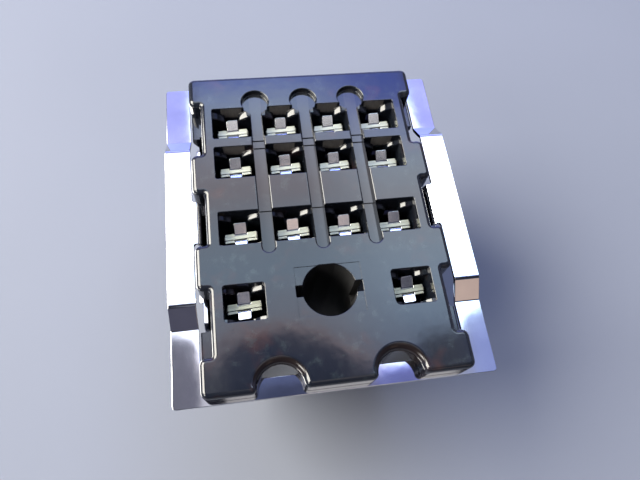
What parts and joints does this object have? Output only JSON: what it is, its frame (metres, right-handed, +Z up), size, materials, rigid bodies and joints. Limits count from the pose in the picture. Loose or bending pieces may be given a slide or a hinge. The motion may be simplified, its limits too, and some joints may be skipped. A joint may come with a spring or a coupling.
{
  "type": "relay socket",
  "caption": "Panel-mount socket for a plug-in relay: black moulded housing with rows of contact pockets, a sprung sheet-metal mounting clip, folded spring contacts and solder lugs.",
  "frame": {"origin": "bottom centre: the plane of the solder lug tips, under the middle of the overall box", "axes": "+Z up out of the relay face, +Y along the socket's length away from the coil pockets, +X across its width"},
  "size_m": [0.025, 0.029, 0.021],
  "materials": {
    "black_plastic": "black moulded plastic, gloss with a fine mould texture",
    "clip_metal": "bright nickel-plated spring steel, faint rolling grain",
    "spring_metal": "tin-plated bronze, satin, sheared edges",
    "terminal_metal": "tin-plated brass, satin"
  },
  "bodies": {
    "root": {"housing": "black_plastic", "mounting_clip": "clip_metal", "contact_spring_01": "spring_metal", "contact_spring_02": "spring_metal", "contact_spring_03": "spring_metal", "contact_spring_04": "spring_metal", "contact_spring_05": "spring_metal", "contact_spring_06": "spring_metal", "contact_spring_07": "spring_metal", "contact_spring_08": "spring_metal", "contact_spring_09": "spring_metal", "contact_spring_10": "spring_metal", "contact_spring_11": "spring_metal", "contact_spring_12": "spring_metal", "contact_spring_13": "spring_metal", "contact_spring_14": "spring_metal", "terminal_01": "terminal_metal", "terminal_02": "terminal_metal", "terminal_03": "terminal_metal", "terminal_04": "terminal_metal", "terminal_05": "terminal_metal", "terminal_06": "terminal_metal", "terminal_07": "terminal_metal", "terminal_08": "terminal_metal", "terminal_09": "terminal_metal", "terminal_10": "terminal_metal", "terminal_11": "terminal_metal", "terminal_12": "terminal_metal", "terminal_13": "terminal_metal", "terminal_14": "terminal_metal"}
  },
  "joints": []
}
